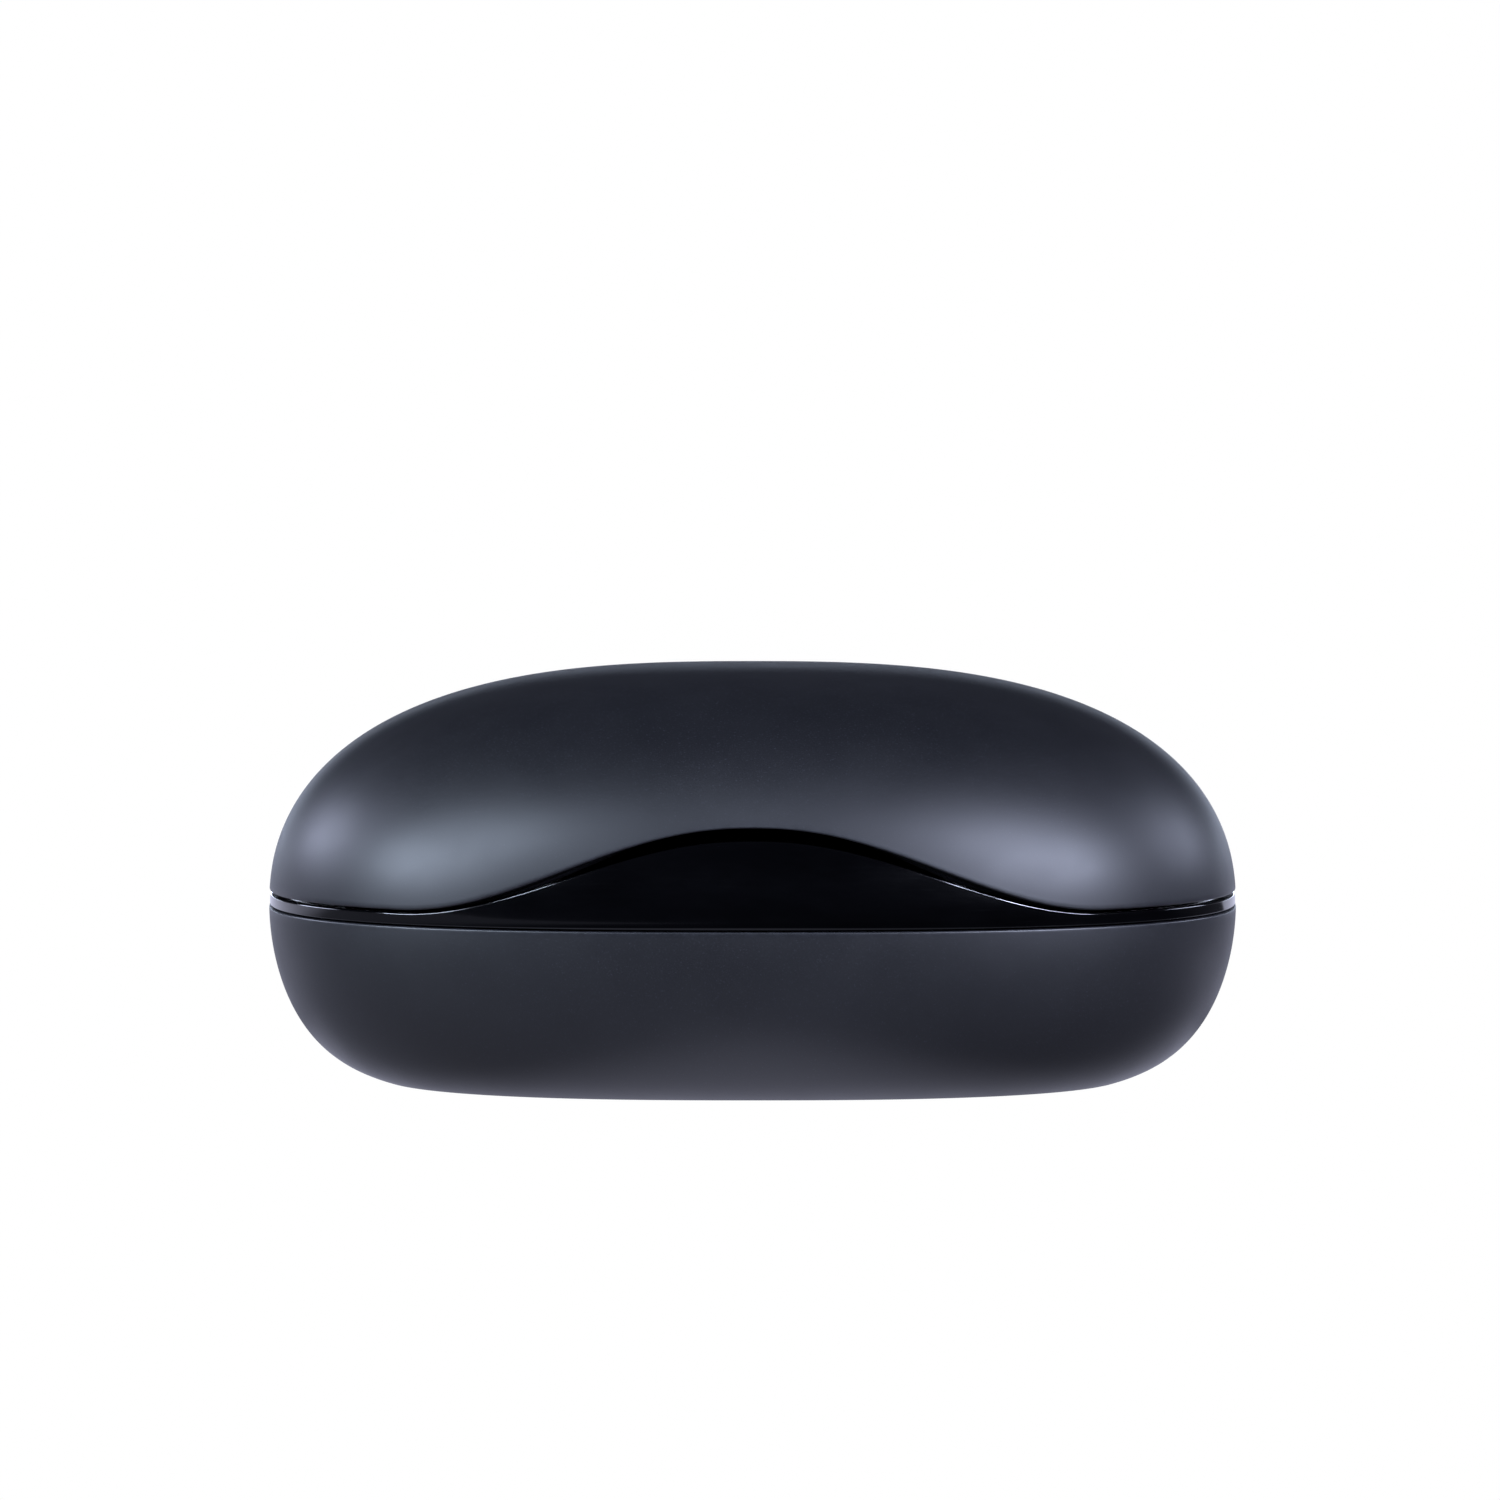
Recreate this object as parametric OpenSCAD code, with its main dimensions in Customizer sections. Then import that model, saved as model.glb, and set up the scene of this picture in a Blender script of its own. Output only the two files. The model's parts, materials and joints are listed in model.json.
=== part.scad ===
// Charging case for a pair of clip-on wireless earbuds: a pebble-shaped shell that
// opens on a rear hinge, with a glossy trim band whose crest fills an arch in the lid.
// Origin: centre of the flat foot. +X to the case's side, -Y to its front, +Z up.

/* [Body] */
// Width of the closed case
body_w = 71; // [70:0.5:73]
// Depth of the closed case
body_d = 50; // [49.5:0.5:52]
// Height of the seam above the flat foot
base_h = 12.65; // [12.4:0.05:13]
// Height of the crown above the seam
crown_h = 17.5; // [17:0.1:19]
// Wall of the two outer shells
wall = 1.5; // [1.3:0.1:1.6]

/* [Front wave] */
// Half width of the wave along the seam
wave_half_w = 25.5; // [24:0.1:29]
// Rise of the lid's arch above its straight rim
arch_h = 6.15; // [5.6:0.05:7]
// Rise of the trim band's crest
crest_h = 5.4; // [3.5:0.05:5.6]
// Depth of the finger scoop at the crest
scoop = 1.0; // [0.4:0.1:1.2]

/* [Earbud wells] */
// Radius of the cup for the earbud's speaker ball
ball_r = 7.7; // [7:0.1:7.8]
// Radius of the cup for the earbud's battery barrel
barrel_r = 5.9; // [5.4:0.1:6]
// Straight length of the barrel cup
barrel_len = 9.2; // [8:0.1:9.4]

/* [Hinge] */
// Radius of the hinge knuckles
knuckle_r = 1.5; // [1.3:0.1:1.5]
// Radius of the hinge pin
pin_r = 0.5; // [0.4:0.05:0.6]
// Half width of the whole hinge
hinge_half_w = 11.7; // [10.8:0.1:12]

/* [Controls and contacts] */
// Radius of the pairing button
button_r = 2.4; // [2:0.1:2.6]
// Radius of a spring contact's moving pin
contact_r = 0.45; // [0.4:0.05:0.5]

/* [Hidden] */
eps = 0.01;

// ---- outer form: stacked superellipses ----
half_w = body_w / 2;
half_d = body_d / 2;
plan_n = 2.55;                     // squareness of the plan outline
crown_p = 2.78;                    // crown profile: scale exponent, then height exponent
crown_q = 2.25;
foot_p = 7.5;                      // foot profile, the same two exponents
foot_q = 1.84;
foot_c = base_h + 0.85;            // the foot's full depth, cut flat 0.85 short
floor_t = 1.2;                     // thickness of the floor
crown_t = 1.5;                     // thickness of the crown at its top

// ---- seam, band and rims, as heights above the foot ----
wave_p = 1.13;                     // above 1, the wave's top is fuller and its flanks steeper
band_z0 = base_h + 0.12;           // underside of the trim band
band_z1 = base_h + 0.93;           // its straight top edge
band_inset = 0.06;
band_w = 2.2;                      // width of the band, seen from above
crest_w = 3.2;                     // added width of the ramp behind the crest
rim_z = base_h + 1.17;             // the lid's straight rim
ramp_z = base_h + 0.62;            // inner edge of the band

// ---- hinge line ----
hinge_y = half_d - 1.55;
hinge_z = base_h + 0.6;
notch_half_w = hinge_half_w + 0.9;
notch_gap = 0.35;                  // rim to knuckle
relief_slope = tan(50);            // rims lean away from the hinge line beside the notch
pin_fit = 0.03;

// ---- deck and wells ----
deck_z0 = base_h - 1.15;
deck_z1 = band_z0;
deck_inset = wall + 0.25;
cup_t = 0.8;
cup_ease = 0.05;                   // the straight walls stand this much outside the round ones
ball_at = [10.8, -7.5, 10.6];
barrel_at = [24, -3.5, 10.3];
bridge_w = 6;                      // slot that joins the two cups
bridge_z = 8.8;

// ---- contacts ----
contact_dy = 2.5;                  // the pins stand this far either side of the cup's middle
contact_tip_z = barrel_at[2] - barrel_r + 0.6;
block_z0 = 2.5;
block_z1 = 3.5;

// ---- button stack ----
button_y = 9.5;
led_y = 5;
led_pitch = 2.4;
board2_z = deck_z0 - 1.75;         // underside of the button board

// ---- power parts ----
cell = [37, 6.8, 7];
cell_at = [0, 11.6, 2.3];          // middle of the cell's underside
board_z = 5;
board_t = 0.8;
usb_w = 8.94;
usb_h = 3.2;
usb_y0 = 16.3;
usb_y1 = half_d - 1.4;
usb_z = board_z + board_t + usb_h / 2;
post_at = [10.6, 17.2];

// ---- angular samples: even steps, with extra ones at the notch's edges ----
function plan_r(a, A, B) =
    1 / pow(pow(abs(cos(a)) / A, plan_n) + pow(abs(sin(a)) / B, plan_n), 1 / plan_n);
function plan_pt(a, A, B) = plan_r(a, A, B) * [cos(a), sin(a)];
function edge_angle(x) =           // angle at which the rear outline passes x
    atan2(half_d * pow(1 - pow(x / half_w, plan_n), 1 / plan_n), x);
notch_angles = [for (x = [notch_half_w - 0.1, notch_half_w + 0.1]) edge_angle(x)];
first_angle = notch_angles[1];     // just outside the notch, on the +X side
second_angle = notch_angles[0];    // just inside it
outer_count = 68;
inner_count = 10;
// from the notch's +X edge round the front to its -X edge, then across the notch
angles = concat(
    [for (i = [0 : outer_count]) first_angle - i * (360 - 2 * (90 - first_angle)) / outer_count],
    [for (i = [0 : inner_count]) 180 - second_angle - i * (180 - 2 * second_angle) / inner_count]);

// ---- rims ----
function bump(x) =
    abs(x) < wave_half_w ? (1 + cos(180 * pow(abs(x) / wave_half_w, wave_p))) / 2 : 0;
function front_bump(p) = p[1] < 0 ? bump(p[0]) : 0;
function behind_hinge(p) = max(0, p[1] - hinge_y);
function in_notch(p) = p[1] > 0 && abs(p[0]) < notch_half_w;
function lid_rim(p) = in_notch(p) ? hinge_z + knuckle_r + notch_gap
    : max(rim_z + arch_h * front_bump(p), hinge_z + 0.1 + behind_hinge(p) * relief_slope
        - (behind_hinge(p) > 0 ? 0 : 1));
function base_rim(p) = in_notch(p) ? hinge_z - knuckle_r - notch_gap
    : min(base_h, hinge_z - 0.1 - behind_hinge(p) * relief_slope
        + (behind_hinge(p) > 0 ? 0 : 1));
function outline(a) = plan_pt(a, half_w, half_d);

// ---- a point on the crown or the foot, t inside the outer skin, at height h from the seam ----
function crown_scale(h, C) = pow(max(0, 1 - pow(max(0, h) / C, crown_q)), 1 / crown_p);
function foot_scale(h, C) = pow(max(0, 1 - pow(max(0, h) / C, foot_q)), 1 / foot_p);
function lift(p, z) = [p[0], p[1], z];
function crown_pt(a, h, t, C) =
    lift(crown_scale(h, C) * plan_pt(a, half_w - t, half_d - t), base_h + h);
function foot_pt(a, h, t, C) =
    lift(foot_scale(h, C) * plan_pt(a, half_w - t, half_d - t), base_h - h);
// heights that crowd towards the pole, from h0 at u = 0 to h1 at u = 1
function crown_h_at(u, h0, C) =
    let (f0 = asin(pow(max(h0, 0) / C, crown_q / 2))) C * pow(sin(f0 + u * (90 - f0)), 2 / crown_q);
function foot_h_at(u, h0, h1, C) =
    let (f0 = asin(pow(max(h0, 0) / C, foot_q / 2)), f1 = asin(pow(h1 / C, foot_q / 2)))
    C * pow(sin(f0 + u * (f1 - f0)), 2 / foot_q);

// ---- rings joined into a closed skin ----
function stitch(rings, n) = [
    for (r = [0 : rings - 2], i = [0 : n - 1])
        let (j = (i + 1) % n) [r * n + i, r * n + j, (r + 1) * n + j, (r + 1) * n + i]
];
function flat(rings) = [for (r = rings) each r];
function turned_over(faces) = [for (f = faces) [for (i = [len(f) - 1 : -1 : 0]) f[i]]];

// Two nested bowls, each a list of rings from the rim to its last ring, with their middles.
module bowl(outer, outer_mid, inner, inner_mid, upright = true) {
    n = len(outer[0]);
    rings = concat([for (i = [len(inner) - 1 : -1 : 0]) inner[i]], outer);
    m = len(rings);
    points = concat(flat(rings), [inner_mid, outer_mid]);
    faces = concat(
        stitch(m, n),
        [for (i = [0 : n - 1]) [(i + 1) % n, i, m * n]],
        [for (i = [0 : n - 1]) [(m - 1) * n + i, (m - 1) * n + (i + 1) % n, m * n + 1]]);
    polyhedron(points, upright ? faces : turned_over(faces));
}

// A section swept through a list of places, closed by flat faces at both ends.
module swept_arc(sections) {
    k = len(sections[0]);
    m = len(sections);
    polyhedron(flat(sections), concat(
        [for (s = [0 : m - 2], i = [0 : k - 1])
            let (j = (i + 1) % k) [s * k + j, s * k + i, (s + 1) * k + i, (s + 1) * k + j]],
        [[for (i = [0 : k - 1]) i]],
        [[for (i = [k - 1 : -1 : 0]) (m - 1) * k + i]]));
}

// ---- small shapes ----
module both_sides() {
    children();
    mirror([1, 0, 0]) children();
}

module bar(x0, x1, y0, y1, z0, z1) {
    translate([x0, y0, z0]) cube([x1 - x0, y1 - y0, z1 - z0]);
}

module post(x, y, z0, z1, r) {
    translate([x, y, z0]) cylinder(h = z1 - z0, r = r, $fn = 48);
}

// A flat-sided slot with round ends, w wide and h high, run along +Y.
module slot_prism(w, h, y0, y1, z) {
    translate([0, y1, z]) rotate([90, 0, 0]) linear_extrude(y1 - y0) {
        square([w - h, h], center = true);
        for (s = [-1, 1]) translate([s * (w - h) / 2, 0]) circle(r = h / 2, $fn = 48);
    }
}

module outline_plate(inset, z0, z1) {
    translate([0, 0, z0]) linear_extrude(z1 - z0)
        polygon([for (a = angles) plan_pt(a, half_w - inset, half_d - inset)]);
}

module along_hinge(x0, x1, r) {
    translate([x0, hinge_y, hinge_z]) rotate([0, 90, 0]) cylinder(h = x1 - x0, r = r, $fn = 48);
}

// Tube of even section along a list of points, closed at both ends.
module wire(points, r, sides = 8) {
    n = len(points);
    function heading(i) = let (d = points[min(i + 1, n - 1)] - points[max(i - 1, 0)]) d / norm(d);
    function ring(i) =
        let (d = heading(i), u = cross(d, [0, 0.02, 1]), v = u / norm(u), w = cross(d, v))
        [for (k = [0 : sides - 1]) points[i] + r * (cos(k * 360 / sides) * v + sin(k * 360 / sides) * w)];
    polyhedron(flat([for (i = [0 : n - 1]) ring(i)]), concat(
        [for (s = [0 : n - 2], i = [0 : sides - 1])
            let (j = (i + 1) % sides, a = s * sides, b = a + sides)
            each [[a + j, a + i, b + j], [b + j, a + i, b + i]]],
        [[for (i = [0 : sides - 1]) i]],
        [[for (i = [sides - 1 : -1 : 0]) (n - 1) * sides + i]]));
}

// Centre line of a coil about +X, starting at x = 0.
function coil_line(turns, r, pitch, per_turn) =
    [for (i = [0 : turns * per_turn]) let (a = i * 360 / per_turn)
        [i * pitch / per_turn, r * cos(a), r * sin(a)]];

// ---- shells ----
module base_shell() {
    rows = 8;
    in_rows = 7;
    in_c = foot_c - floor_t;
    outer = [for (r = [0 : rows]) [for (a = angles)
        foot_pt(a, foot_h_at(r / rows, base_h - base_rim(outline(a)), base_h, foot_c), 0, foot_c)]];
    inner = [for (r = [0 : in_rows]) [for (a = angles)
        foot_pt(a, foot_h_at(r / in_rows, base_h - base_rim(outline(a)), base_h - floor_t, in_c),
            wall, in_c)]];
    color("#3b3d45") difference() {
        bowl(outer, [0, 0, 0], inner, [0, 0, floor_t], upright = false);
        slot_prism(usb_w + 0.5, usb_h + 0.5, half_d - 5, half_d + 1, usb_z);
    }
}

module lid_shell() {
    rows = 11;
    in_rows = 8;
    in_c = crown_h - crown_t;
    outer = [for (r = [0 : rows - 1]) [for (a = angles)
        crown_pt(a, crown_h_at(r / rows, lid_rim(outline(a)) - base_h, crown_h), 0, crown_h)]];
    inner = [for (r = [0 : in_rows - 1]) [for (a = angles)
        crown_pt(a, crown_h_at(r / in_rows, lid_rim(outline(a)) - base_h, in_c), wall, in_c)]];
    color("#3b3d45") bowl(outer, [0, 0, base_h + crown_h], inner, [0, 0, base_h + in_c]);
}

// Height and inset of the trim band's section: up its face, over its top, down its ramp.
band_rows = 4;
ramp_rows = 4;
top_land = 0.6;
edge_break = 0.12;
function band_section(a) =
    let (
        p = outline(a),
        b = front_bump(p),
        top = band_z1 + crest_h * b,
        back = behind_hinge(p) > 0 ? behind_hinge(p) + 0.1 : 0,
        d0 = band_inset + back,
        dt = d0 + scoop * b * b,
        w = band_w + crest_w * b + back * 0.5,
        face = [for (i = [0 : band_rows])
            let (t = i / band_rows) [d0 + scoop * pow(b * t, 2), band_z0 + t * (top - edge_break - band_z0)]],
        ramp = [for (i = [1 : ramp_rows])
            let (t = i / ramp_rows, c = (1 + cos(180 * t)) / 2)
            [dt + edge_break + top_land + t * (w - dt - edge_break - top_land),
                ramp_z + (top - ramp_z) * c]]
    )
    [for (q = concat(face, [[dt + edge_break, top], [dt + edge_break + top_land, top]], ramp,
        [[w, band_z0]]))
        let (k = crown_scale(q[1] - base_h, crown_h))
        lift(k * p * (plan_r(a, half_w - q[0] / k, half_d - q[0] / k) / plan_r(a, half_w, half_d)), q[1])];

module trim_band() {
    color("#08080a") difference() {
        swept_arc([for (i = [0 : outer_count]) band_section(angles[i])]);
        bar(-hinge_half_w - 0.35, hinge_half_w + 0.35, hinge_y - knuckle_r - 0.35, half_d, 0, hinge_z + 3);
    }
}

// The liner's flange closes the gap between the lid's two skins, its dome clears the earbuds,
// and its skirt hides the hinge.
liner_out = wall + 1.7;
liner_in = wall + 2.6;
skirt_out = liner_in - 0.6;
skirt_gap = 0.35;                  // between the skirt's foot and the deck
skirt_over = 1.2;                  // how far the skirt reaches past each end of the notch
module lid_liner() {
    rows = 7;
    c_out = crown_h - 2.3;
    c_in = crown_h - 3;
    c_lip = crown_h - crown_t - 0.15;
    function at(a, t, z) = crown_pt(a, z - base_h, t, c_lip);
    function hides_hinge(a) = let (p = outline(a)) p[1] > 0 && abs(p[0]) < notch_half_w + skirt_over;
    function low(a) = hides_hinge(a) ? deck_z1 + skirt_gap : lid_rim(outline(a)) + 0.15;
    function lip(a) = hides_hinge(a) ? skirt_out : wall + 0.15;
    function out(a) = hides_hinge(a) ? skirt_out : liner_out;
    inner = concat([[for (a = angles) at(a, lip(a), low(a))]],
        [for (r = [0 : rows - 1]) [for (a = angles)
            crown_pt(a, crown_h_at(r / rows, low(a) - base_h, c_in), liner_in, c_in)]]);
    outer = concat([[for (a = angles) at(a, lip(a), low(a) + 0.8)]],
        [for (r = [0 : rows - 1]) [for (a = angles)
            crown_pt(a, crown_h_at(r / rows, low(a) + 0.8 - base_h, c_out), out(a), c_out)]]);
    color("#141518") bowl(outer, [0, 0, base_h + c_out], inner, [0, 0, base_h + c_in]);
}

// ---- cradle ----
module ball_cup(r, top) {
    translate(ball_at) sphere(r = r, $fn = 64);
    post(ball_at[0], ball_at[1], ball_at[2], top, r + cup_ease);
}

module barrel_cup(r, top) {
    ends = [barrel_at[1] - barrel_len / 2, barrel_at[1] + barrel_len / 2];
    translate([barrel_at[0], ends[0], barrel_at[2]]) rotate([-90, 0, 0])
        cylinder(h = barrel_len, r = r, $fn = 64);
    for (y = ends) {
        translate([barrel_at[0], y, barrel_at[2]]) sphere(r = r, $fn = 64);
        post(barrel_at[0], y, barrel_at[2], top, r + cup_ease);
    }
    bar(barrel_at[0] - r - cup_ease, barrel_at[0] + r + cup_ease, ends[0], ends[1], barrel_at[2], top);
}

module bridge(w, z0, z1) {
    bar(ball_at[0] + 4, barrel_at[0] - 2, ball_at[1] - w / 2, ball_at[1] + w / 2, z0, z1);
}

function contact_ys() = [barrel_at[1] - contact_dy, barrel_at[1] + contact_dy];

sill_half_w = 14.5;                // a low sill on the deck hides the hinge from the front
sill_y = 19;
sill_t = 0.6;
sill_h = 0.65;
module cradle() {
    solid_top = deck_z0 + 0.5;
    color("#1b1c20") difference() {
        union() {
            outline_plate(deck_inset, deck_z0, deck_z1);
            bar(-sill_half_w, sill_half_w, sill_y, sill_y + sill_t, deck_z0, deck_z1 + sill_h);
            intersection() {
                both_sides() {
                    ball_cup(ball_r + cup_t, solid_top);
                    barrel_cup(barrel_r + cup_t, solid_top);
                    bridge(bridge_w + 2 * cup_t, bridge_z - cup_t, solid_top);
                    post(post_at[0], post_at[1], board_z + board_t, solid_top, 1.4);
                }
                bar(-half_w, half_w, -half_d, half_d, 0, solid_top);
            }
        }
        both_sides() {
            ball_cup(ball_r, deck_z1 + 1);
            barrel_cup(barrel_r, deck_z1 + 1);
            bridge(bridge_w, bridge_z, deck_z1 + 1);
            for (y = contact_ys()) post(barrel_at[0], y, 0, barrel_at[2], 0.75);
            post(post_at[0], post_at[1], board_z, board_z + 3.2, 0.5);
            post(bracket_at[0], bracket_at[1], deck_z0 - 1, deck_z1 - 0.15, 0.6);
        }
        bar(-notch_half_w, notch_half_w, hinge_y - knuckle_r - 0.35, half_d, 0, base_h + 2);
        post(0, button_y, deck_z0 - 1, deck_z1 + 1, button_r + 0.1);
        for (i = [-1 : 1]) post(i * led_pitch, led_y, deck_z0 - 1, deck_z1 + 1, 0.6);
    }
}

// ---- hinge ----
lid_knuckle = 6.8;                 // half width of the lid's knuckle
base_knuckle = 8.8;                // where the base's knuckles begin
bracket_z0 = deck_z0 - 0.95;
bracket_z1 = deck_z0 - 0.05;
bracket_at = [7.2, 18.2];          // its screws
module hinge_bracket() {
    ear_y = hinge_y - knuckle_r;
    color("silver") difference() {
        union() {
            both_sides() {
                along_hinge(base_knuckle, hinge_half_w, knuckle_r);
                bar(base_knuckle, hinge_half_w, ear_y + 0.1, ear_y + 0.7, bracket_z0, hinge_z);
            }
            bar(-hinge_half_w, hinge_half_w, 18.9, ear_y + 0.6, bracket_z0, bracket_z1);
            bar(-9, 9, 16.4, 19, bracket_z0, bracket_z1);
        }
        along_hinge(-half_w, half_w, pin_r);
        both_sides() post(bracket_at[0], bracket_at[1], 0, base_h, 0.6);
    }
}

module hinge_pin() {
    color("gainsboro") along_hinge(-hinge_half_w + 0.1, hinge_half_w - 0.1, pin_r);
}

leaf_tilt = 13.5;
module on_leaf() {
    translate([0, hinge_y - 0.55, hinge_z + 0.3]) rotate([leaf_tilt, 0, 0]) children();
}

module hinge_leaf() {
    color("silver") difference() {
        union() {
            along_hinge(-lid_knuckle, lid_knuckle, knuckle_r);
            on_leaf() translate([-lid_knuckle, -0.45, 0]) cube([2 * lid_knuckle, 1, 5.4]);
        }
        along_hinge(-half_w, half_w, pin_r + pin_fit);
        on_leaf() for (x = [-4, 4]) translate([x, 2, 4.2]) rotate([90, 0, 0])
            cylinder(h = 4, r = 0.7, $fn = 32);
    }
}

module leaf_rivets() {
    color("silver") on_leaf() for (x = [-4, 4]) translate([x, 1.2, 4.2]) rotate([90, 0, 0])
        cylinder(h = 1.65, r = 0.7, $fn = 32);
}

module hinge_spring() {
    turns = 4;
    wire_r = 0.17;
    x0 = lid_knuckle + 0.12 + wire_r;
    pitch = (base_knuckle - 0.12 - wire_r - x0) / turns;
    color("lightgray") translate([x0, hinge_y, hinge_z])
        wire(coil_line(turns, 0.85, pitch, 16), wire_r, 6);
}

module screw(x, y, z, shank, head_r = 1.1) {
    difference() {
        union() {
            post(x, y, z, z + 0.65, head_r);
            post(x, y, z + 0.6, z + 0.65 + shank, 0.5);
        }
        for (k = [0, 90]) translate([x, y, z]) rotate(k) cube([1.2, 0.3, 0.7], center = true);
    }
}

module bracket_screws() {
    color("gray") both_sides() difference() {
        union() {
            post(bracket_at[0], bracket_at[1], bracket_z0 - 0.65, bracket_z0, 1.15);
            post(bracket_at[0], bracket_at[1], bracket_z0 - 0.1, deck_z1 - 0.2, 0.6);
        }
        for (k = [0, 90]) translate([bracket_at[0], bracket_at[1], bracket_z0 - 0.65]) rotate(k)
            cube([1.2, 0.3, 0.6], center = true);
    }
}

// ---- magnets ----
magnet_angle = -45;
function face_angle(a) =           // direction in which the outline faces at angle a
    atan2(sign(sin(a)) * pow(abs(sin(a)), plan_n - 1) / pow(half_d, plan_n),
        sign(cos(a)) * pow(abs(cos(a)), plan_n - 1) / pow(half_w, plan_n));
module at_latch(p) {
    both_sides() translate(p) rotate(face_angle(magnet_angle)) children();
}

module latch_magnets_base() {
    color("silver") at_latch(foot_pt(magnet_angle, base_h - 8.5, wall + 1.9, foot_c - floor_t))
        cube([1.8, 6, 3.6], center = true);
}

module latch_magnets_lid() {
    color("silver") at_latch(crown_pt(magnet_angle, 4.6, wall + 0.95, crown_h - crown_t - 0.5))
        cube([0.8, 4.4, 2.2], center = true);
}

module well_magnets() {
    color("silver") {
        translate([ball_at[0], ball_at[1] - ball_r - cup_t - 0.3, 8.4]) rotate([90, 0, 0])
            cylinder(h = 2, r = 2.8, $fn = 48);
        translate([barrel_at[0], barrel_at[1] + barrel_len / 2 + barrel_r + cup_t + 2.3, 8.7])
            rotate([90, 0, 0]) cylinder(h = 2, r = 2.5, $fn = 48);
    }
}

// ---- power ----
module battery() {
    color("#8f9499") translate(cell_at + [-cell[0] / 2, -cell[1] / 2, 0]) cube(cell);
}

module battery_pad() {
    color("#2a2a2a") bar(-14, 14, 9, 14, floor_t + 0.1, cell_at[2]);
}

lead_route = [
    [18.6, 13, 8], [19.6, 13, 8], [20.4, 13.6, 7.9], [20.6, 14.6, 7.7], [20, 15.5, 7.5],
    [18.8, 16, 7.3], [17, 16.2, 7.1], [15, 16.2, 7.1], [13.4, 16.2, 7.1]
];
module battery_leads() {
    color("#7a1414") {
        wire(lead_route, 0.35);
        wire([for (p = lead_route) p + [0, 0, -0.9]], 0.35);
    }
}

module battery_plug() {
    color("ivory") bar(12.2, 13.3, 15.4, 17, board_z + board_t, board_z + board_t + 1.6);
}

module main_board() {
    color("#0f3d2a") difference() {
        union() {
            bar(-13.4, 13.4, 15.35, 18.3, board_z, board_z + board_t);
            bar(-8.4, 8.4, 18.2, 20, board_z, board_z + board_t);
        }
        both_sides() post(post_at[0], post_at[1], 0, base_h, 0.6);
    }
}

module board_screws() {
    color("gray") both_sides() screw(post_at[0], post_at[1], board_z - 0.65, 2.6, 1);
}

module usb_shell() {
    color("silver") difference() {
        slot_prism(usb_w, usb_h, usb_y0, usb_y1, usb_z);
        slot_prism(usb_w - 0.6, usb_h - 0.6, usb_y0 + 0.8, usb_y1 + 1, usb_z);
    }
}

module usb_tongue() {
    color("#111111") bar(-3.3, 3.3, usb_y0 + 0.8, usb_y1 - 1.1, usb_z - 0.3, usb_z + 0.3);
}

module usb_contacts() {
    color("gold") for (s = [-1, 1], i = [0 : 11])
        bar(-2.9 + i * 0.5, -2.6 + i * 0.5, usb_y0 + 1, usb_y1 - 1.5,
            usb_z + (s > 0 ? 0.3 : -0.36), usb_z + (s > 0 ? 0.36 : -0.3));
}

module charger_chip() {
    color("#151515") bar(5.4, 8.2, 15.6, 18, board_z + board_t, board_z + board_t + 0.8);
}

module controller_chip() {
    color("#151515") bar(-8.4, -5.4, 15.6, 18.2, board_z + board_t, board_z + board_t + 0.8);
}

module power_inductor() {
    color("#3a3a3a") bar(5.4, 7.6, 18.3, 19.9, board_z + board_t, board_z + board_t + 1.2);
}

module board_capacitors() {
    color("tan") for (i = [0 : 2])
        bar(-8.2 + i * 1.1, -7.6 + i * 1.1, 18.7, 19.7, board_z + board_t, board_z + board_t + 0.5);
}

// ---- button, sensor and lights ----
board2_top = board2_z + 0.5;
module button_board() {
    color("#0f3d2a") bar(-4.6, 4.6, 3.4, 13.2, board2_z, board2_top);
}

module button_flex() {
    color("#b06a1c") {
        bar(-1.5, 1.5, 13.2, 15.3, board2_z + 0.1, board2_z + 0.25);
        bar(-1.5, 1.5, 15.15, 15.3, board_z + 1, board2_z + 0.15);
    }
}

module switch_body() {
    color("#c9c9c9") difference() {
        bar(-1.5, 1.5, button_y - 1.3, button_y + 1.3, board2_top, board2_top + 0.5);
        post(0, button_y, board2_top + 0.1, base_h, 0.8);
    }
}

module switch_plunger() {
    color("#202020") post(0, button_y, board2_top + 0.4, board2_top + 0.85, 0.7);
}

module pairing_button() {
    color("#1b1c20") {
        post(0, button_y, board2_top + 0.85, board2_top + 1.2, button_r + 0.5);
        post(0, button_y, board2_top + 1.1, deck_z1 + 0.2, button_r);
    }
}

module hall_sensor() {
    color("#151515") bar(2.6, 4.2, 7.2, 8.6, board2_top, board2_top + 0.6);
}

module status_leds() {
    color("white") for (i = [-1 : 1])
        bar(i * led_pitch - 0.5, i * led_pitch + 0.5, led_y - 0.35, led_y + 0.35,
            board2_top, board2_top + 0.4);
}

module light_pipes() {
    color("white") for (i = [-1 : 1]) post(i * led_pitch, led_y, board2_top + 0.5, deck_z1, 0.55);
}

// ---- spring contacts, one side ----
module contact_block() {
    color("#202225") difference() {
        bar(barrel_at[0] - 1.2, barrel_at[0] + 1.2, barrel_at[1] - contact_dy - 1.3,
            barrel_at[1] + contact_dy + 1.3, block_z0, block_z1);
        for (y = contact_ys()) post(barrel_at[0], y, block_z0 - 1, block_z1 + 1, 0.75);
    }
}

module contact_flex() {
    color("#b06a1c") bar(barrel_at[0] - 1.1, barrel_at[0] + 1.1, barrel_at[1] - contact_dy - 1.2,
        barrel_at[1] + contact_dy + 6, block_z0 - 0.12, block_z0 - eps);
}

module contact_barrels() {
    color("goldenrod") for (y = contact_ys()) difference() {
        post(barrel_at[0], y, block_z0, barrel_at[2] - barrel_r + 0.15, 0.72);
        post(barrel_at[0], y, block_z0 + 0.2, barrel_at[2], contact_r + 0.03);
    }
}

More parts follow.
